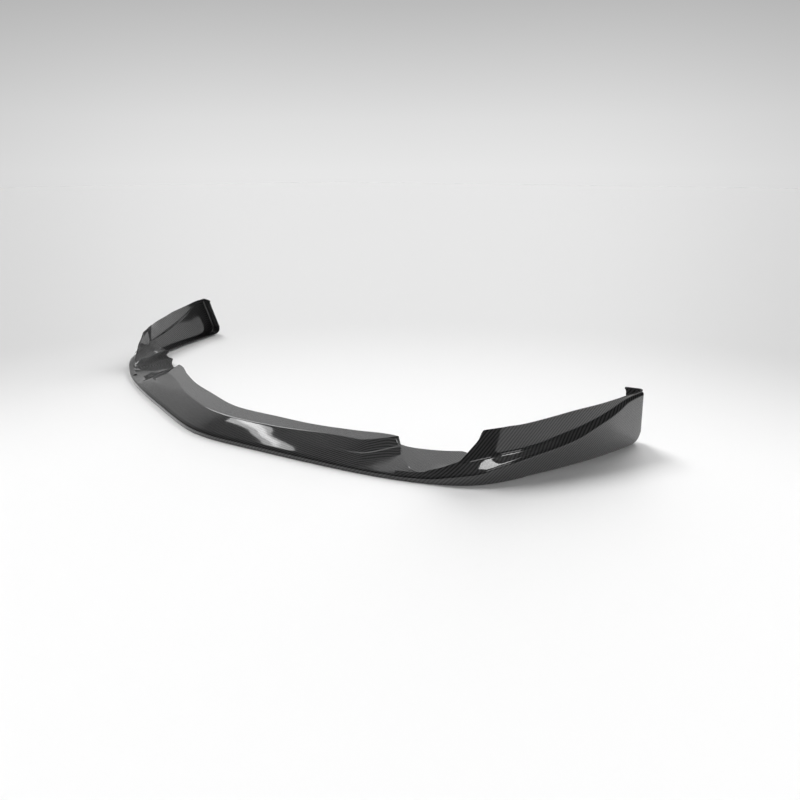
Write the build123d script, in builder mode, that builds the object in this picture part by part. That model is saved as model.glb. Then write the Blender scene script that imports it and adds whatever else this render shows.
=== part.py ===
from build123d import *
import math
import os

os.makedirs("parts", exist_ok=True)

# Driving sizes in millimetres; +Z is up, -Y is the front, the tip of the nose starts at the origin
half_width = 936.0
depth = 705.0
sheet = 3.0
nose_height = 12.0
shelf_height = 20.0
flange_height = 41.0
wing_front_height = 116.0
wing_rear_height = 152.0
floor_width = 42.0
return_width = 46.0
rear_lean = 11.0

# Plan places and section widths below are drawn at 936 by 705, and follow the driving sizes
grow = half_width / 936.0
deepen = depth / 705.0


def spot(x, y):
    return (x * grow, y * deepen)


# Half of the bottom edge in plan, from the middle of the nose to the foot of the rear end
with BuildLine() as path:
    Spline(
        spot(0, 0),
        spot(165, 25),
        spot(450, 92),
        spot(639, 158),
        spot(752, 238),
        spot(803, 325),
        spot(896, 555),
        spot(936, 705),
        tangents=((1, 0), (0.24, 1)),
    )
plan = path.line

# Pointed end of the flat top flange, and where the slanted end of the raised middle meets the nose
flange_tip = Vector(*spot(492, 257))
slant_start = 0.490


def station(t, lean=0.0):
    # Upright plane across the bottom edge; lean tips its top forwards
    run = plan % t
    tilt = math.radians(lean)
    along = Vector(run.X * math.cos(tilt), run.Y * math.cos(tilt), math.sin(tilt))
    return Plane(origin=plan @ t, x_dir=(-run.Y, run.X, 0), z_dir=along)


def slanted():
    # Upright plane from the nose to the tip of the flange
    start = plan @ slant_start
    inward = (flange_tip - start).normalized()
    return Plane(origin=start, x_dir=inward, z_dir=(inward.Y, -inward.X, 0))


def skin(points):
    # Outer line of the sheet, then its mitred back line, one sheet thickness behind
    back = []
    last = len(points) - 1
    for i in range(len(points)):
        here = Vector(*points[i])
        before = here - Vector(*points[i - 1]) if i > 0 else Vector(*points[1]) - here
        after = Vector(*points[i + 1]) - here if i < last else before
        first = Vector(before.Y, -before.X).normalized()
        second = Vector(after.Y, -after.X).normalized()
        step = (first + second) * (sheet / (1.0 + first.dot(second)))
        back.append((here.X + step.X, here.Y + step.Y))
    return list(points) + back[::-1]


def fold(plane, points):
    # Closed section of the sheet: each point is a distance inward from the bottom edge and a height
    with BuildSketch(plane) as section:
        with BuildLine():
            Polyline(*skin([(u * grow, z) for u, z in points]), close=True)
        make_face()
    return section.sketch.face()


nose = nose_height
shelf = shelf_height
ridge = flange_height - 0.5 * sheet
brow = shelf + 0.42 * (ridge - shelf)
foot = shelf - 0.1 * nose
front_top = wing_front_height
rear_top = wing_rear_height
reach = (flange_tip - plan @ slant_start).length / grow

with BuildPart() as front_lip:
    # Nose and two-slope face of the raised middle, up to the underside of the top flange
    turn = [(0, 0), (-1, nose), (34, 0.90 * shelf), (60, brow), (112, ridge)]
    loft(
        [
            fold(station(0.000), [(0, 0), (-1, nose), (8, 0.85 * shelf), (38, brow), (78, ridge)]),
            fold(station(0.110), [(0, 0), (-1, nose), (8, 0.85 * shelf), (36, brow), (75, ridge)]),
            fold(station(0.215), [(0, 0), (-1, nose), (8, 0.85 * shelf), (37, brow), (77, ridge)]),
            fold(station(0.321), [(0, 0), (-1, nose), (10, 0.85 * shelf), (45, brow), (94, ridge)]),
            fold(station(0.393), turn),
        ],
    )

    # The same sheet where the face turns back towards the pointed end
    tail = [(0, 0), (0, nose), (reach - 58, foot), (reach - 30, brow), (reach + 1, ridge)]
    loft([fold(station(0.393), turn), fold(slanted(), tail)])

    # Slanted end wall that closes the raised middle down to the shelf
    with BuildSketch(slanted()):
        with BuildLine():
            Polyline(
                ((reach - 60) * grow, foot - sheet),
                ((reach - 58) * grow, foot),
                ((reach - 30) * grow, brow),
                (reach * grow, ridge),
                ((reach + 3) * grow, ridge),
                ((reach + 3) * grow, shelf - sheet),
                close=True,
            )
        make_face()
    extrude(amount=-sheet)

    # Shelf of the gap between the raised middle and the wing
    crown = 0.5 * (foot + shelf) + 0.1 * sheet
    gap = [(0, 0), (0, nose), (reach - 58, foot), (reach - 30, crown), (reach + 3, shelf)]
    rim = [(0, 0), (0, 1.08 * nose), (14, shelf), (76, 1.04 * shelf), (141, shelf)]
    loft([fold(slanted(), gap), fold(station(0.500), rim)])

    # Lower wall, ledge and rim that sweep up into the front edge of the wing
    corner = [(0, 0), (-4.3, 0.31 * front_top), (25.5, 0.46 * front_top), (41, front_top)]
    start = [(0, 0), (0, 1.08 * nose), (14, shelf), (18, 0.20 * front_top)]
    rise = [(0, 0), (-1, 1.5 * nose), (17.5, 0.26 * front_top), (21, 0.31 * front_top)]
    climb = [(0, 0), (-2, 2.0 * nose), (21, 0.38 * front_top), (26, 0.48 * front_top)]
    kick = [(0, 0), (-3, 2.3 * nose), (23, 0.42 * front_top), (30.5, 0.66 * front_top)]
    loft(
        [
            fold(station(0.500), start),
            fold(station(0.541), rise),
            fold(station(0.580), climb),
            fold(station(0.600), kick),
            fold(station(0.629), corner),
        ],
    )

    # Wing from its front corner to where its foot starts to rise
    flare = [(0, 0), (-7.5, 0.46 * front_top), (17.6, 0.53 * front_top), (24, 1.05 * front_top)]
    waist = [(0, 0), (-8, 0.41 * rear_top), (9.7, 0.54 * rear_top), (12.8, 0.87 * rear_top)]
    lean_in = [(0, 0), (-11, 0.64 * rear_top), (1.2, 0.72 * rear_top), (0.1, 0.93 * rear_top)]
    hip = [(0, 0), (-14, 0.87 * rear_top), (-7.5, 0.92 * rear_top), (-9, 0.98 * rear_top)]
    loft(
        [
            fold(station(0.629), corner),
            fold(station(0.697), flare),
            fold(station(0.777), waist),
            fold(station(0.864), lean_in),
            fold(station(0.945), hip),
        ],
    )

    # Leaning rear end of the wing, with its foot turned up
    rear_planes = [
        station(0.972, 0.45 * rear_lean),
        station(0.988, 0.75 * rear_lean),
        station(1.000, rear_lean),
    ]
    lift = [0.010 * rear_top, 0.035 * rear_top, 0.110 * rear_top]
    bend = [(0, lift[0]), (-14.4, 0.885 * rear_top), (-9, 0.935 * rear_top), (-10.5, 0.990 * rear_top)]
    heel = [(-0.5, lift[1]), (-14.8, 0.90 * rear_top), (-10.8, 0.95 * rear_top), (-12, 1.0 * rear_top)]
    end = [(-1.5, lift[2]), (-15, 0.91 * rear_top), (-12, 0.96 * rear_top), (-13, 1.01 * rear_top)]
    loft(
        [
            fold(station(0.945), hip),
            fold(rear_planes[0], bend),
            fold(rear_planes[1], heel),
            fold(rear_planes[2], end),
        ],
        ruled=True,
    )

    # Shelf inside the wing, narrowing and falling to the floor flange
    low = 1.3 * sheet
    wide = floor_width / grow
    loft(
        [
            fold(station(0.500), [(14, shelf), (141, shelf)]),
            fold(station(0.540), [(2, shelf), (145, shelf)]),
            fold(station(0.607), [(-0.5, shelf), (143, shelf)]),
            fold(station(0.680), [(-0.8, 0.70 * shelf), (96, 0.70 * shelf)]),
            fold(station(0.715), [(0, 0.42 * shelf), (64, 0.42 * shelf)]),
            fold(station(0.750), [(1, low), (wide, low)]),
        ],
    )

    # Floor flange along the foot of the wing, turned up with it at the rear
    loft(
        [
            fold(station(0.750), [(1, low), (wide, low)]),
            fold(station(0.865), [(1, low), (wide, low)]),
            fold(station(0.945), [(1, low), (wide, low)]),
        ],
    )
    loft(
        [
            fold(station(0.945), [(1, low), (wide, low)]),
            fold(rear_planes[0], [(1, low + lift[0]), (wide, low + lift[0])]),
            fold(rear_planes[1], [(0.5, low + lift[1]), (wide, low + lift[1])]),
            fold(rear_planes[2], [(-0.5, low + lift[2]), (wide, low + lift[2])]),
        ],
        ruled=True,
    )

    # Flat flange on top of the raised middle, with a pointed end
    with BuildSketch(Plane.XY.offset(flange_height - sheet)):
        with BuildLine():
            lead = Spline(
                spot(0, 74),
                spot(128, 89),
                spot(268, 124),
                spot(450, 188),
                spot(492, 257),
                tangents=((1, 0), (0.3, 1)),
            )
            trail = Spline(
                lead @ 1,
                spot(440, 252),
                spot(300, 194),
                spot(163, 160),
                spot(0, 136),
                tangents=((-1, 0.1), (-1, 0)),
            )
            Line(trail @ 1, lead @ 0)
        make_face()
    extrude(amount=sheet)

    # Return flange across the rear end, notched at the top and rounded at the foot
    with BuildSketch(rear_planes[2]) as tab:
        with BuildLine():
            Polyline(
                (0.5 * sheet - 1.5 * grow, lift[2] + 0.2 * sheet),
                (0.5 * sheet - 15 * grow, 0.91 * rear_top),
                (0.5 * sheet - 12 * grow, 0.96 * rear_top),
                (0.5 * sheet - 13 * grow, 1.01 * rear_top),
                (0.70 * return_width, 1.01 * rear_top),
                (0.70 * return_width, 0.84 * rear_top),
                (0.83 * return_width, 0.80 * rear_top),
                (return_width, lift[2] + 0.2 * sheet),
                close=True,
            )
        make_face()
        fillet(tab.vertices().group_by(Axis.Y)[0].sort_by(Axis.X)[-1], 0.3 * return_width)
    extrude(amount=-sheet)

    mirror(about=Plane.YZ)

box = front_lip.part.bounding_box()
front_lip.part = front_lip.part.translate((0, -box.center().Y, -box.min.Z))
front_lip.part.label = "front_lip"
export_step(front_lip.part, "parts/front_lip.step")
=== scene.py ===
import math

import bpy
import numpy as np
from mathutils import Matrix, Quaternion, Vector


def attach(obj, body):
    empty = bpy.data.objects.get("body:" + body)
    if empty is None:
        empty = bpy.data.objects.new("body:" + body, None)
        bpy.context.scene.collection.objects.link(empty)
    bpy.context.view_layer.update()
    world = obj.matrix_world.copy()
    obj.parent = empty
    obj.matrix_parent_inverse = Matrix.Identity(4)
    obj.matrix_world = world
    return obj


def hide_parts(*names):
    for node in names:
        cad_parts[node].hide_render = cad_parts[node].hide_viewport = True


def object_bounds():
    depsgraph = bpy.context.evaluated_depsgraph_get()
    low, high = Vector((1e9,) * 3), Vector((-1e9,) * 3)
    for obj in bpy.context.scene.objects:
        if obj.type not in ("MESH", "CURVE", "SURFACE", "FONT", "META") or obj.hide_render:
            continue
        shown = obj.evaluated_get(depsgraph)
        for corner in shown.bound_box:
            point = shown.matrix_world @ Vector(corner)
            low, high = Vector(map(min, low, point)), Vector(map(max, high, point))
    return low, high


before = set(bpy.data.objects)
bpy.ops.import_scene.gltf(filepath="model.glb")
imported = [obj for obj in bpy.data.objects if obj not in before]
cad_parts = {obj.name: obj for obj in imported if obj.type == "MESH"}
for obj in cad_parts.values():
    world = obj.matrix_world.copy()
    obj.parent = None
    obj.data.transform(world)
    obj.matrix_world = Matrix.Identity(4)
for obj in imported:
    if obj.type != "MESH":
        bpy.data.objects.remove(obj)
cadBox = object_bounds()
print("frame loaded", [round(v, 3) for v in cadBox[0]], [round(v, 3) for v in cadBox[1]])

millimetre = 0.001  # shapes below are in millimetres, the frame is in metres

# Plan of the bottom edge: nose tip to rear foot, in millimetres from the nose tip
lipPlan = {
    "points": [(0, 0), (165, 25), (450, 92), (639, 158), (752, 238), (803, 325), (896, 555), (936, 705)],
    "startRun": (1.0, 0.0),
    "endRun": (0.24, 1.0),
    "noseY": cadBox[0].y + millimetre,  # the crest stands a millimetre ahead of the nose tip
}

# Blade: nose, raised middle with its top flange, shelf and ramp up to the wing
# A rail point is (t, inward, height), or (row, t, inward, height) where the rows run slanted
# t is the share of the plan's length, the other two are in millimetres
bladeShape = {
    "bottom": [(0, 0, 0), (0.5, 0, 0), (0.512, 4, 8), (0.523, 11, 18), (0.541, 16, 27),
               (0.560, 19.5, 35.5), (0.580, 22.5, 43), (0.607, 25, 49), (0.632, 26.5, 52), (0.672, 23, 55),
               (0.712, 14, 58)],
    "crest": [(0, -1, 11.5), (0.357, -1, 11.5), (0.421, 0, 12.3), (0.5, 0, 12.8), (0.512, 6, 15),
              (0.523, 16, 20.5), (0.541, 20.5, 27), (0.560, 24, 33.5), (0.580, 27, 38.5), (0.607, 30, 43),
              (0.632, 32, 45), (0.672, 29, 46), (0.712, 24, 42)],
    "base": [(0, 8, 16.5), (0.215, 8, 16.5), (0.321, 10, 16.5), (0.357, 14.5, 17.2), (0.380, 20, 17.8),
             (0.393, 0.396, 39, 18), (0.415, 0.4245, 70, 18.3), (0.430, 0.447, 95, 18.6),
             (0.434, 0.4478, 95, 18.8), (0.470, 0.474, 50, 19.2), (0.5, 14, 19.8), (0.512, 18, 20),
             (0.523, 24, 20.6), (0.541, 29, 23), (0.560, 32.5, 26.5), (0.580, 36, 29.5), (0.607, 40, 32),
             (0.632, 42, 33), (0.672, 40, 33), (0.712, 42, 29)],
    "mid": [(0, 30, 25.1), (0.110, 29, 24.9), (0.215, 31.5, 25.4), (0.265, 36, 26.8), (0.321, 42, 28),
            (0.357, 46, 27), (0.380, 0.379, 52, 26.3), (0.393, 0.392, 63, 26.2), (0.415, 0.4165, 98, 26.4),
            (0.430, 0.4385, 125, 26.6), (0.434, 0.4405, 125, 19.6), (0.470, 98, 20), (0.5, 76, 20.4),
            (0.523, 67, 20.4), (0.541, 61, 20.6), (0.560, 57, 21.2), (0.580, 56, 22), (0.607, 57, 22.8),
            (0.632, 58, 23), (0.672, 58, 22.8), (0.712, 60, 21.5)],
    # Inner edge of the narrow step that grows towards each end of the raised middle
    "step": [(0, 52, 33.3), (0.110, 50, 33.2), (0.215, 54, 33.4), (0.265, 54, 32.4), (0.321, 51, 29.8),
             (0.357, 53, 27.6), (0.380, 0.378, 59, 26.5), (0.393, 0.390, 70, 26.4),
             (0.415, 0.4145, 105, 26.6), (0.430, 0.4350, 131, 26.8), (0.434, 0.4371, 131, 19.7),
             (0.470, 103, 20), (0.5, 83, 20.4), (0.540, 70, 20.3), (0.580, 67, 20.3), (0.607, 68, 20.4),
             (0.632, 69, 20.4), (0.672, 66, 20.3), (0.712, 64.5, 20.4)],
    "crease": [(0, 74, 41), (0.110, 71, 41), (0.170, 73, 41), (0.215, 79, 41), (0.265, 90, 41),
               (0.321, 96, 41), (0.357, 96, 41), (0.380, 0.371, 103.5, 41), (0.393, 0.385, 116, 41),
               (0.415, 0.4045, 133, 41), (0.430, 0.4215, 150, 41), (0.434, 0.4275, 150, 20.2),
               (0.470, 118, 20.2), (0.5, 112, 20.2), (0.540, 105, 20.1), (0.580, 100, 20), (0.607, 98, 20),
               (0.632, 92, 20), (0.672, 78, 20), (0.712, 67, 20.1)],
    "rear": [(0, 136, 41), (0.110, 135, 41), (0.215, 131, 41), (0.321, 143, 41), (0.393, 156, 41),
             (0.415, 0.411, 155.5, 41), (0.430, 0.4235, 152.5, 41), (0.434, 0.430, 151, 20),
             (0.450, 145, 20), (0.470, 143, 20), (0.5, 143, 20), (0.540, 145, 20), (0.580, 146, 20),
             (0.605, 144, 20), (0.620, 138, 20), (0.637, 124, 20), (0.655, 108, 20), (0.672, 95, 20),
             (0.700, 80, 20), (0.712, 71, 20)],
    # Spans of rows (from, to, count), closer where the form turns
    "rows": [(0, 0.712, 104), (0.36, 0.43, 24), (0.43, 0.434, 6), (0.434, 0.56, 40), (0.58, 0.712, 32)],
    "straightSteps": [3, 4, 5, 1, 5, 6],
    # Corner radius by station; a large one makes the two slopes of the face one curve
    "radius": {
        "crest": [(0, 7), (0.51, 7), (0.55, 40), (1, 40)],
        "base": [(0, 12), (0.40, 9), (0.43, 5), (0.51, 8), (0.55, 60), (1, 60)],
        "mid": [(0, 1500), (0.25, 1500), (0.33, 30), (0.385, 3), (0.43, 2), (0.5, 8), (0.55, 90), (1, 90)],
        "step": [(0, 1500), (0.25, 1500), (0.33, 30), (0.385, 3), (0.43, 2), (0.5, 8), (0.55, 90), (1, 90)],
        "crease": [(0, 20), (0.33, 20), (0.37, 8), (0.415, 5), (0.43, 3), (1, 5)],
    },
}

# Wing: lower wall, ledge, upper wall with its sharp front corner, and the turned-in rear end
wingShape = {
    "bottom": [(0.46, 0.6, 0.6), (0.5, 0, 0), (0.66, 0, 0), (0.69, 0, 0.4), (0.71, 0, 3), (0.958, 0, 3),
               (0.972, 0, 3.6), (0.984, -0.3, 6), (0.993, -0.8, 11), (0.999, -1.6, 19), (1.004, -2.8, 32)],
    "crest": [(0.46, 0.8, 11), (0.49, 0, 12.4), (0.526, -0.4, 14.5), (0.56, -1.6, 21), (0.594, -2.9, 27),
              (0.611, -3.6, 30), (0.646, -5.1, 42), (0.684, -7.2, 51), (0.7255, -8, 58.5),
              (0.769, -8, 62.5), (0.8145, -8.8, 73), (0.86, -11, 95), (0.91, -13.4, 118),
              (0.95, -14.4, 135.5), (1.004, -15, 143)],
    "valley": [(0.46, 14, 17), (0.5, 14, 19.5), (0.523, 16, 25), (0.541, 17.5, 30), (0.559, 19, 37),
               (0.583, 21, 46), (0.617, 24.6, 52), (0.659, 25.8, 55.7), (0.697, 17.6, 61.5),
               (0.737, 12.8, 68.6), (0.779, 9.6, 82), (0.823, 5.5, 93.9), (0.869, 0.7, 109),
               (0.9165, -4.8, 130), (0.956, -8.2, 142.7), (1.004, -10.5, 149)],
    "top": [(0.46, 20, 17.2), (0.505, 17.3, 20), (0.523, 18.6, 26.2), (0.541, 20.4, 32.5),
            (0.559, 22.5, 41), (0.578, 25.5, 50), (0.583, 26.3, 56), (0.595, 29, 72), (0.605, 32, 83),
            (0.6154, 35.5, 94), (0.629, 41, 115.5), (0.632, 40.7, 115.9), (0.643, 39, 117),
            (0.6605, 35, 118.5), (0.679, 29, 121), (0.697, 24, 122.3), (0.7352, 16.7, 127.4),
            (0.777, 12.8, 132.8), (0.819, 6.3, 138.9), (0.864, 0.1, 142.4), (0.913, -5.9, 147),
            (0.967, -11.3, 151), (1.004, -12.5, 152)],
    "rows": [(0.46, 1.004, 150), (0.57, 0.66, 40), (0.629, 0.629, 1), (0.945, 1.004, 30)],
    "straightSteps": [15, 4, 9],
    "radius": {"crest": [(0, 10), (1, 10)], "valley": [(0, 10), (1, 10)]},
    "lean": 15.0,
    "leanFrom": 0.88,
    # Flange turned in along the foot and up the rear edge
    # (t, or rearFrom to 2 up the rear edge, width, radius, turn in degrees)
    "flange": [(0.690, 4, 0.4, 90), (0.710, 26, 3, 90), (0.740, 42, 3, 90), (0.955, 42, 3, 90),
               (1.004, 46, 9, 104), (1.60, 46, 9, 106), (1.66, 46, 9, 106), (1.69, 40, 9, 106),
               (1.72, 46, 9, 106), (2.0, 46, 9, 106)],
    "rearFrom": 1.01,
    "bendSteps": 8,
    "flatSteps": 8,
}

# Sheet of the whole lip: millimetres and degrees
lipSheet = {
    "thickness": 3.0,
    "planCount": 2400,
    "runStep": 4.0,
    "cornerSteps": 7,
    "cornerShare": 0.46,  # most of a side that a corner's radius may take
    "sharpAngle": 40.0,
    "weaveMap": "weave",
}


def smoothSlopes(x, y):
    # Slopes that follow the points without overshoot
    h = np.diff(x)
    d = np.diff(y, axis=0) / h[:, None]
    m = np.zeros_like(y)
    w1 = (2 * h[1:] + h[:-1])[:, None]
    w2 = (h[1:] + 2 * h[:-1])[:, None]
    with np.errstate(divide="ignore", invalid="ignore"):
        inner = (w1 + w2) / (w1 / d[:-1] + w2 / d[1:])
    inner[(d[:-1] * d[1:]) <= 0] = 0.0
    m[1:-1] = inner
    m[0] = d[0]
    m[-1] = d[-1]
    return m


def cubicThrough(x, y, slopes, at):
    # Cubic from each point to the next, with the slopes given there
    i = np.clip(np.searchsorted(x, at, side="right") - 1, 0, len(x) - 2)
    h = (x[i + 1] - x[i])[:, None]
    k = (at - x[i])[:, None] / h
    out = (1 + 2 * k) * (1 - k) ** 2 * y[i] + k * (1 - k) ** 2 * h * slopes[i]
    return out + k * k * (3 - 2 * k) * y[i + 1] + k * k * (k - 1) * h * slopes[i + 1]


def alongRail(points, rows):
    full = np.array([p if len(p) == 4 else (p[0],) + tuple(p) for p in points], float)
    x, y = full[:, 0], full[:, 1:]
    return cubicThrough(x, y, smoothSlopes(x, y), rows)


def runLength(points):
    steps = np.linalg.norm(np.diff(points, axis=0), axis=1)
    return np.concatenate([[0], np.cumsum(steps)])


def planCurve(plan, count):
    # Cubic spline through the plan points, as a line of short steps with its run length
    p = np.array(plan["points"], float)
    s = runLength(p)
    h = np.diff(s)
    n = len(p)
    grid = np.zeros((n, n))
    side = np.zeros((n, 2))
    grid[0, 0] = grid[-1, -1] = 1
    side[0] = np.array(plan["startRun"]) / np.linalg.norm(plan["startRun"])
    side[-1] = np.array(plan["endRun"]) / np.linalg.norm(plan["endRun"])
    for i in range(1, n - 1):
        grid[i, i - 1:i + 2] = h[i], 2 * (h[i] + h[i - 1]), h[i - 1]
        side[i] = 3 * (h[i] * (p[i] - p[i - 1]) / h[i - 1] + h[i - 1] * (p[i + 1] - p[i]) / h[i])
    line = cubicThrough(s, p, np.linalg.solve(grid, side), np.linspace(0, s[-1], count))
    return line, runLength(line)


planLine, planLength = planCurve(lipPlan, lipSheet["planCount"])


def planAt(t):
    s = t * planLength[-1]

    def spot(at):
        return np.stack([np.interp(at, planLength, planLine[:, k]) for k in (0, 1)], -1)

    on = np.clip(s, 0, planLength[-1])
    step = lipSheet["runStep"]
    run = spot(on + step) - spot(on - step)
    run /= np.linalg.norm(run, axis=1)[:, None]
    run[s < step] = lipPlan["startRun"]
    # Beyond the rear foot the plan runs on straight
    place = spot(s) + run * np.clip(s - planLength[-1], 0, None)[:, None]
    return place, run


def roundedSection(corners, radii, straightSteps):
    # Every section gets the same count of points, so that neighbours join as a grid
    cornerSteps, share = lipSheet["cornerSteps"], lipSheet["cornerShare"]
    out = []
    last = corners[0]
    for i in range(1, len(corners) - 1):
        p0, p1, p2 = corners[i - 1], corners[i], corners[i + 1]
        a, b = p0 - p1, p2 - p1
        la, lb = np.linalg.norm(a), np.linalg.norm(b)
        cosine = np.clip(np.dot(a, b) / (la * lb), -1, 1)
        half = 0.5 * math.acos(cosine)
        reach = min(radii[i] / max(math.tan(half), 1e-3), share * la, share * lb)
        first, second = p1 + a / la * reach, p1 + b / lb * reach
        out += [last + (first - last) * k for k in np.linspace(0, 1, straightSteps[i - 1] + 1)[:-1]]
        for k in np.linspace(0, 1, cornerSteps + 1)[:-1]:
            out.append((1 - k) ** 2 * first + 2 * k * (1 - k) * p1 + k * k * second)
        last = second
    out += [last + (corners[-1] - last) * k for k in np.linspace(0, 1, straightSteps[-1] + 1)]
    return np.array(out)


def sectionGrid(shape, names):
    rows = np.unique(np.concatenate([np.linspace(*span) for span in shape["rows"]]))
    rails, radii = [], []
    for name in names:
        line = alongRail(shape[name], rows)
        place, run = planAt(line[:, 0])
        inward = np.stack([-run[:, 1], run[:, 0]], -1)
        rail = np.concatenate([place + inward * line[:, 1:2], line[:, 2:3]], 1)
        if "lean" in shape:
            k = np.clip((line[:, 0] - shape["leanFrom"]) / (1 - shape["leanFrom"]), 0, 1)
            lean = math.tan(math.radians(shape["lean"])) * k * k * (3 - 2 * k)
            rail[:, :2] -= run * (line[:, 2] * lean)[:, None]
        rails.append(rail)
        stations = np.array(shape["radius"].get(name, [(0, 0), (1, 0)]), float)
        radii.append(np.interp(rows, stations[:, 0], stations[:, 1]))
    grid = np.array([
        roundedSection([rail[r] for rail in rails], [k[r] for k in radii], shape["straightSteps"])
        for r in range(len(rows))])
    steps = np.linalg.norm(np.diff(grid, axis=1), axis=2)
    across = np.concatenate([np.zeros((len(rows), 1)), np.cumsum(steps, axis=1)], 1)
    along = np.repeat((rows * planLength[-1])[:, None], grid.shape[1], 1)
    return rows, grid, np.stack([along, across], -1)


def gridNormals(grid):
    du = np.gradient(grid, axis=0)
    dv = np.gradient(grid, axis=1)
    n = np.cross(du, dv)
    n /= np.maximum(np.linalg.norm(n, axis=2), 1e-9)[:, :, None]
    return n


def closedSheet(grid, uv, thickness, flip):
    # Front and back skins closed by a rim; flip turns the front side over
    n = gridNormals(grid) * (-1 if flip else 1)
    rows, cols = grid.shape[:2]
    back = grid - n * thickness
    verts = np.concatenate([grid.reshape(-1, 3), back.reshape(-1, 3)])
    uvs = np.concatenate([uv.reshape(-1, 2), uv.reshape(-1, 2)])
    faces = []
    size = rows * cols
    for r in range(rows - 1):
        for c in range(cols - 1):
            a, b = r * cols + c, (r + 1) * cols + c
            quad = (a, b, b + 1, a + 1)
            faces.append(quad[::-1] if flip else quad)
            lower = tuple(v + size for v in quad)
            faces.append(lower if flip else lower[::-1])
    ring = [(0, c) for c in range(cols)] + [(r, cols - 1) for r in range(1, rows)]
    ring += [(rows - 1, c) for c in range(cols - 2, -1, -1)] + [(r, 0) for r in range(rows - 2, 0, -1)]
    ids = [r * cols + c for r, c in ring]
    for k in range(len(ids)):
        a, b = ids[k], ids[(k + 1) % len(ids)]
        quad = (a, b, b + size, a + size)
        faces.append(quad[::-1] if flip else quad)
    return verts, uvs, faces


def bladeSheet():
    names = ["bottom", "crest", "base", "mid", "step", "crease", "rear"]
    _, grid, uv = sectionGrid(bladeShape, names)
    # The other half is its mirror, without the shared middle row
    other = grid[:0:-1] * [-1, 1, 1]
    otherUv = uv[:0:-1] * [-1, 1]
    return np.concatenate([other, grid]), np.concatenate([otherUv, uv])


def wingSheets():
    names = ["bottom", "crest", "valley", "top"]
    rows, grid, uv = sectionGrid(wingShape, names)
    # The flange follows the foot of the wall and then its rear edge
    stations = np.array(wingShape["flange"], float)
    foot = np.nonzero(rows >= stations[0, 0])[0]
    out = -gridNormals(grid)
    path = np.concatenate([grid[foot, 0], grid[-1, 1:]])
    normal = -np.concatenate([out[foot, 0], out[-1, 1:]])
    rise = uv[-1, 1:, 1] / uv[-1, -1, 1]
    rearFrom = wingShape["rearFrom"]
    place = np.concatenate([rows[foot], rearFrom + (stations[-1, 0] - rearFrom) * rise])
    tangent = np.gradient(path, axis=0)
    # Up the rear edge the flange stays flat, turned as the wall is a quarter of the way up
    rear = np.arange(len(place)) >= len(foot)
    tangent[rear] = path[-1] - path[rear][0]
    normal[rear] = normal[rear][len(rise) // 4] * [1, 1, 0]
    tangent /= np.linalg.norm(tangent, axis=1)[:, None]
    outward = np.cross(tangent, normal)
    outward /= np.linalg.norm(outward, axis=1)[:, None]
    width, radius, turn = [np.interp(place, stations[:, 0], stations[:, k])[:, None] for k in (1, 2, 3)]
    turn = np.radians(turn)
    length = runLength(path)
    strip, stripUv = [], []
    for k in np.linspace(0, 1, wingShape["bendSteps"] + 1):
        strip.append(path + outward * radius * np.sin(turn * k) - normal * radius * (1 - np.cos(turn * k)))
        stripUv.append(np.stack([length, -(radius * turn * k)[:, 0]], -1))
    inside = outward * np.cos(turn) - normal * np.sin(turn)
    bent, bentUv = strip[-1], stripUv[-1]
    for k in np.linspace(0, 1, wingShape["flatSteps"] + 1)[1:]:
        strip.append(bent + inside * (width - radius) * k)
        stripUv.append(bentUv - np.stack([0 * length, ((width - radius) * k)[:, 0]], -1))
    return (grid, uv), (np.array(strip).transpose(1, 0, 2), np.array(stripUv).transpose(1, 0, 2))


def makeLip():
    verts, uvs, faces = [], [], []

    def addSheet(grid, uv, flip):
        v, u, f = closedSheet(grid, uv, lipSheet["thickness"], flip)
        start = sum(len(x) for x in verts)
        verts.append(v)
        uvs.append(u)
        faces.extend([tuple(i + start for i in q) for q in f])

    grid, uv = bladeSheet()
    addSheet(grid, uv, False)
    wall, flange = wingSheets()
    for (grid, uv), flip in ((wall, False), (flange, True)):
        addSheet(grid, uv, flip)
        addSheet(grid * [-1, 1, 1], uv * [-1, 1], not flip)
    places = np.concatenate(verts) * millimetre
    places[:, 1] += lipPlan["noseY"]
    weave = np.concatenate(uvs) * millimetre
    mesh = bpy.data.meshes.new("frontLip")
    mesh.from_pydata(places.tolist(), [], faces)
    mesh.update()
    layer = mesh.uv_layers.new(name=lipSheet["weaveMap"])
    loops = np.zeros(len(mesh.loops), int)
    mesh.loops.foreach_get("vertex_index", loops)
    layer.data.foreach_set("uv", weave[loops].ravel())
    mesh.polygons.foreach_set("use_smooth", [True] * len(mesh.polygons))
    mesh.set_sharp_from_angle(angle=math.radians(lipSheet["sharpAngle"]))
    lip = bpy.data.objects.new("frontLip", mesh)
    bpy.context.scene.collection.objects.link(lip)
    return lip


frontLip = makeLip()
print("lip built", len(frontLip.data.polygons), "faces")


# Sockets of a Mix node by its kind of data: first, second and result
mixSockets = {"FLOAT": (2, 3, 0), "RGBA": (6, 7, 2)}


def plug(tree, socket, source):
    # A source is a plain value or another node's output
    if isinstance(source, bpy.types.NodeSocket):
        tree.links.new(source, socket)
    else:
        socket.default_value = source


def mathStep(tree, operation, *sources):
    node = tree.nodes.new("ShaderNodeMath")
    node.operation = operation
    for socket, source in zip(node.inputs, sources):
        plug(tree, socket, source)
    return node.outputs[0]


def vectorStep(tree, operation, *sources):
    node = tree.nodes.new("ShaderNodeVectorMath")
    node.operation = operation
    for socket, source in zip(node.inputs, sources):
        plug(tree, socket, source)
    return node.outputs["Value" if operation in ("DOT_PRODUCT", "DISTANCE", "LENGTH") else "Vector"]


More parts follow.
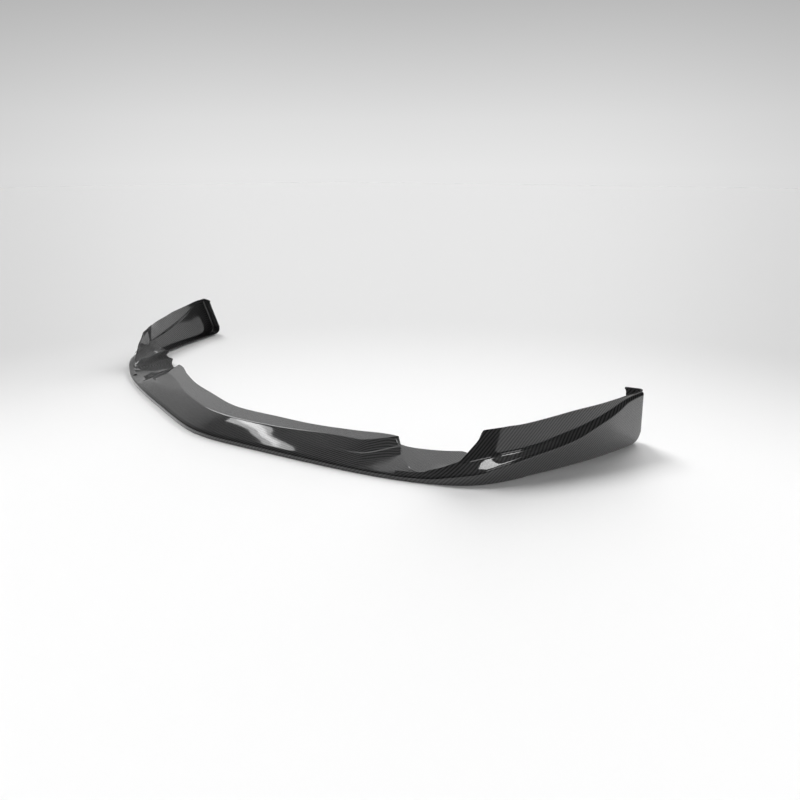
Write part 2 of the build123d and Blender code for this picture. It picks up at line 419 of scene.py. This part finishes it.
def rangeStep(tree, value, given, wanted=(0.0, 1.0), kind="SMOOTHSTEP"):
    node = tree.nodes.new("ShaderNodeMapRange")
    node.interpolation_type = kind
    plug(tree, node.inputs["Value"], value)
    for name, end in zip(("From Min", "From Max", "To Min", "To Max"), given + wanted):
        plug(tree, node.inputs[name], end)
    return node.outputs["Result"]


def mixStep(tree, factor, first, second, data="RGBA", kind="MIX"):
    node = tree.nodes.new("ShaderNodeMix")
    node.data_type = data
    node.blend_type = kind
    a, b, result = mixSockets[data]
    sockets = (node.inputs["Factor"], node.inputs[a], node.inputs[b])
    for socket, source in zip(sockets, (factor, first, second)):
        plug(tree, socket, source)
    return node.outputs[result]


# Clear-coated twill: tow width in metres, tows in a repeat, colours of the two tow directions. Both are the
# same fibre: their difference is painted sheen, the warp painted light and the weft painted dark
twillFinish = {
    "tow": 0.0025,
    "repeat": 4.0,
    "warpWithPaintedSheen": (0.042, 0.042, 0.043, 1),
    "weftWithPaintedShade": (0.004, 0.004, 0.0042, 1),
    "bump": 0.5,
    "bumpDepth": 0.0004,
    "fibreRoughness": 0.38,
    "fibreSheen": 0.75,
    "fibreTurn": 0.25,  # fibres shine across their length, so the warp's shine turns by a quarter
    "fibreSpecular": 0.2,
    "coat": 1.0,
    "coatRoughness": 0.05,
    "coatIor": 1.52,
}


def makeTwill(values):
    material = bpy.data.materials.new("clearCoatedTwill")
    material.use_nodes = True
    tree = material.node_tree
    tree.nodes.clear()
    output = tree.nodes.new("ShaderNodeOutputMaterial")
    shader = tree.nodes.new("ShaderNodeBsdfPrincipled")
    plug(tree, output.inputs["Surface"], shader.outputs["BSDF"])
    uvMap = tree.nodes.new("ShaderNodeUVMap")
    uvMap.uv_map = lipSheet["weaveMap"]
    split = tree.nodes.new("ShaderNodeSeparateXYZ")
    plug(tree, split.inputs[0], uvMap.outputs["UV"])
    x, y = [mathStep(tree, "DIVIDE", split.outputs[k], values["tow"]) for k in (0, 1)]

    # Two over, two under, each tow one step on from its neighbour
    ahead = mathStep(tree, "SUBTRACT", mathStep(tree, "FLOOR", x), mathStep(tree, "FLOOR", y))
    turn = mathStep(tree, "FLOORED_MODULO", ahead, values["repeat"])
    onTop = mathStep(tree, "LESS_THAN", turn, values["repeat"] / 2 - 0.5)

    def towHump(place):
        # Round top of a tow: 0 at its edges, 1 along its middle
        doubled = mathStep(tree, "MULTIPLY", mathStep(tree, "FRACT", place), 2.0)
        side = mathStep(tree, "SUBTRACT", doubled, 1.0)
        return mathStep(tree, "SUBTRACT", 1.0, mathStep(tree, "MULTIPLY", side, side))

    bump = tree.nodes.new("ShaderNodeBump")
    plug(tree, bump.inputs["Strength"], values["bump"])
    plug(tree, bump.inputs["Distance"], values["bumpDepth"])
    plug(tree, bump.inputs["Height"], mixStep(tree, onTop, towHump(y), towHump(x), data="FLOAT"))
    tangent = tree.nodes.new("ShaderNodeTangent")
    tangent.direction_type = "UV_MAP"
    tangent.uv_map = lipSheet["weaveMap"]
    finish = {
        # Painted sheen: the warp tows are painted lighter and the weft tows darker, in place of the fibres'
        # sheen
        "Base Color": mixStep(tree, onTop, values["weftWithPaintedShade"], values["warpWithPaintedSheen"]),
        "Normal": bump.outputs["Normal"],
        "Tangent": tangent.outputs[0],
        "Anisotropic": values["fibreSheen"],
        "Anisotropic Rotation": mathStep(tree, "MULTIPLY", onTop, values["fibreTurn"]),
        "Roughness": values["fibreRoughness"],
        "Specular IOR Level": values["fibreSpecular"],
        "Coat Weight": values["coat"],
        "Coat Roughness": values["coatRoughness"],
        "Coat IOR": values["coatIor"],
    }
    for name, source in finish.items():
        plug(tree, shader.inputs[name], source)
    return material


clearCoatedTwill = makeTwill(twillFinish)
frontLip.data.materials.append(clearCoatedTwill)
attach(frontLip, "root")
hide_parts("front_lip")
print("twill finish set")


# Studio: pale floor that fades with distance, a lit backdrop behind the lip, a dark room around it
studio = {
    "floorSize": 60.0,
    "floorNear": (0.84, 0.84, 0.84, 1),
    "floorFar": (0.677, 0.677, 0.677, 1),
    "fadeCentre": (1.05, -0.88, 0.0),
    "fadeRange": (1.1, 2.53),  # metres from its centre
    "sideCentre": (1.4407, -1.2255, 0.0),  # on the floor, about under the camera
    "mirrorPatch": (1.45, 1.80),  # the coat shows the floor bright out to here, metres from the middle
    "mirrorTones": (1.0, 0.03),
    "mirrorGlow": 0.35,  # share of the patch that no shadow reaches
    "backdropRun": (-0.641, 0.767, 0.0),
    "backdrop": [(0.0, 0.80), (0.068, 0.735), (0.144, 0.61), (0.21, 0.50), (0.6, 0.3)],
    "sideFade": (0.85, 1.0),
    "sideRange": (0.82, 0.995),  # cosine of the angle from the backdrop's middle
    "windowRange": (0.30, 0.95),  # the same, for the bright part of the room
    "ceilingRange": (0.575, 0.645),  # sine of the elevation at which the room turns dark
    "roomTones": (0.03, 0.66),
    "broadLights": [
        {"name": "keyLight", "power": 2.0, "angle": 26.0, "from": (-0.60, 0.15, 0.79)},
        {"name": "backLight", "power": 3.4, "angle": 50.0, "from": (-0.20, 0.90, 0.38)},
        {"name": "fillLight", "power": 0.66, "angle": 90.0, "from": (0.3, -0.4, 0.85)},
    ],
    # Seen only in the coat
    "softboxes": [
        {"name": "sideBox", "place": (-1.49, 0.09, 1.88), "aim": (0.159, -0.286, 0.031),
         "size": (0.17, 0.62), "power": 1.56},
        {"name": "sideStrip", "place": (-1.48, 0.10, 1.86), "aim": (0.159, -0.286, 0.031),
         "size": (0.07, 0.42), "power": 0.46},
        {"name": "creaseBox", "place": (-1.64, 0.80, 1.29), "aim": (0.25, -0.25, 0.04),
         "size": (0.97, 0.42), "power": 4.4},
        {"name": "topBox", "place": (0.88, 0.11, 2.35), "aim": (0.76, -0.09, 0.047),
         "size": (1.0, 0.6), "turn": -54.0, "power": 18.5},
        {"name": "frontBox", "place": (2.33, -0.65, 1.5), "aim": (0.75, -0.08, 0.08),
         "size": (0.9, 0.9), "power": 8.0},
    ],
}


def makeSideFade(values):
    # Shared by the floor and the sky: tone falls off to both sides of the backdrop
    group = bpy.data.node_groups.new("sideFade", "ShaderNodeTree")
    group.interface.new_socket("Direction", in_out="INPUT", socket_type="NodeSocketVector")
    group.interface.new_socket("Fade", in_out="OUTPUT", socket_type="NodeSocketFloat")
    source, target = group.nodes.new("NodeGroupInput"), group.nodes.new("NodeGroupOutput")
    flat = vectorStep(group, "MULTIPLY", source.outputs[0], (1, 1, 0))
    toward = vectorStep(group, "DOT_PRODUCT", vectorStep(group, "NORMALIZE", flat), values["backdropRun"])
    plug(group, target.inputs[0], rangeStep(group, toward, values["sideRange"], values["sideFade"]))
    return group


def fadeToSides(tree, sideFade, tone, direction):
    side = tree.nodes.new("ShaderNodeGroup")
    side.node_tree = sideFade
    plug(tree, side.inputs["Direction"], direction)
    return mixStep(tree, 1.0, tone, side.outputs["Fade"], kind="MULTIPLY")


def makeFloor(values, sideFade):
    end = values["floorSize"] / 2
    mesh = bpy.data.meshes.new("studioFloor")
    mesh.from_pydata([(-end, -end, 0), (end, -end, 0), (end, end, 0), (-end, end, 0)], [], [(0, 1, 2, 3)])
    floor = bpy.data.objects.new("studioFloor", mesh)
    bpy.context.scene.collection.objects.link(floor)
    material = bpy.data.materials.new("paleFloor")
    material.use_nodes = True
    tree = material.node_tree
    tree.nodes.clear()
    output = tree.nodes.new("ShaderNodeOutputMaterial")
    place = tree.nodes.new("ShaderNodeTexCoord").outputs["Object"]
    inCoat = tree.nodes.new("ShaderNodeLightPath").outputs["Is Glossy Ray"]

    # What the camera sees: a tone that falls with distance, and to the sides
    away = vectorStep(tree, "DISTANCE", place, values["fadeCentre"])
    direction = vectorStep(tree, "SUBTRACT", place, values["sideCentre"])
    far = fadeToSides(tree, sideFade, values["floorFar"], direction)
    tone = mixStep(tree, rangeStep(tree, away, values["fadeRange"]), values["floorNear"], far)

    # What the coat reflects: a bright patch with a lighter shadow, dark farther out
    fromMiddle = vectorStep(tree, "LENGTH", place)
    patch = rangeStep(tree, fromMiddle, values["mirrorPatch"], values["mirrorTones"])
    matte = tree.nodes.new("ShaderNodeBsdfDiffuse")
    plug(tree, matte.inputs["Color"], mixStep(tree, inCoat, tone, patch))
    glow = tree.nodes.new("ShaderNodeEmission")
    plug(tree, glow.inputs["Color"], patch)
    pick = tree.nodes.new("ShaderNodeMixShader")
    glowShare = mathStep(tree, "MULTIPLY", inCoat, values["mirrorGlow"])
    for socket, source in zip(pick.inputs, (glowShare, matte.outputs[0], glow.outputs[0])):
        plug(tree, socket, source)
    plug(tree, output.inputs["Surface"], pick.outputs[0])
    mesh.materials.append(material)


def makeSky(values, sideFade):
    world = bpy.data.worlds.new("studioSky")
    bpy.context.scene.world = world
    world.use_nodes = True
    tree = world.node_tree
    tree.nodes.clear()
    output = tree.nodes.new("ShaderNodeOutputWorld")
    back = tree.nodes.new("ShaderNodeBackground")
    direction = tree.nodes.new("ShaderNodeTexCoord").outputs["Generated"]
    split = tree.nodes.new("ShaderNodeSeparateXYZ")
    plug(tree, split.inputs[0], direction)
    height = split.outputs["Z"]

    # What the camera sees: the backdrop's tone by height, less to the sides
    ramp = tree.nodes.new("ShaderNodeValToRGB")
    plug(tree, ramp.inputs["Fac"], height)
    stops = ramp.color_ramp.elements
    while len(stops) < len(values["backdrop"]):
        stops.new(0.5)
    for stop, (place, level) in zip(stops, values["backdrop"]):
        stop.position = place
        stop.color = (level, level, level, 1)
    seen = fadeToSides(tree, sideFade, ramp.outputs["Color"], direction)

    # What the coat reflects: bright low backdrop behind, dark room elsewhere
    toward = vectorStep(tree, "DOT_PRODUCT", direction, values["backdropRun"])
    window = rangeStep(tree, toward, values["windowRange"])
    low = rangeStep(tree, height, values["ceilingRange"], (1.0, 0.0))
    lit = mathStep(tree, "MULTIPLY", window, low)
    room = rangeStep(tree, lit, (0.0, 1.0), values["roomTones"], kind="LINEAR")

    byCamera = tree.nodes.new("ShaderNodeLightPath").outputs["Is Camera Ray"]
    plug(tree, back.inputs["Color"], mixStep(tree, byCamera, room, seen))
    plug(tree, output.inputs["Surface"], back.outputs[0])


def makeLamps(values):
    # Broad lights are for floor and shadow, and stay out of the coat's reflections
    for light in values["broadLights"]:
        data = bpy.data.lights.new(light["name"], "SUN")
        data.energy = light["power"]
        data.angle = math.radians(light["angle"])
        item = bpy.data.objects.new(light["name"], data)
        item.rotation_euler = (-Vector(light["from"])).to_track_quat("-Z", "Y").to_euler()
        item.visible_glossy = False
        bpy.context.scene.collection.objects.link(item)
    for box in values["softboxes"]:
        data = bpy.data.lights.new(box["name"], "AREA")
        data.shape = "RECTANGLE"
        data.size, data.size_y = box["size"]
        data.energy = box["power"]
        item = bpy.data.objects.new(box["name"], data)
        item.location = box["place"]
        facing = (Vector(box["aim"]) - Vector(box["place"])).to_track_quat("-Z", "Y")
        turn = Quaternion((0, 0, 1), math.radians(box.get("turn", 0)))
        item.rotation_euler = (facing @ turn).to_euler()
        item.visible_camera = False
        item.visible_diffuse = False
        bpy.context.scene.collection.objects.link(item)


sideFade = makeSideFade(studio)
makeFloor(studio, sideFade)
makeSky(studio, sideFade)
makeLamps(studio)
print("studio set")


# Camera of the photograph
photoView = {
    "place": (1.4407, -0.8687, 0.6656),
    "azimuth": 39.864,
    "elevation": 19.688,
    "lens": 28.8,
    "sensor": 36.0,
    "clipEnd": 50.0,
}


def makeCamera(values):
    data = bpy.data.cameras.new("photoCamera")
    data.sensor_width = values["sensor"]
    data.sensor_fit = "HORIZONTAL"
    data.lens = values["lens"]
    data.clip_end = values["clipEnd"]
    item = bpy.data.objects.new("photoCamera", data)
    x, y, z = values["place"]
    item.location = (x, y + lipPlan["noseY"], z)
    a, e = math.radians(values["azimuth"]), math.radians(values["elevation"])
    look = Vector((-math.sin(a) * math.cos(e), math.cos(a) * math.cos(e), -math.sin(e)))
    item.rotation_euler = look.to_track_quat("-Z", "Y").to_euler()
    bpy.context.scene.collection.objects.link(item)
    bpy.context.scene.camera = item


makeCamera(photoView)
bpy.context.scene.view_settings.view_transform = "Standard"
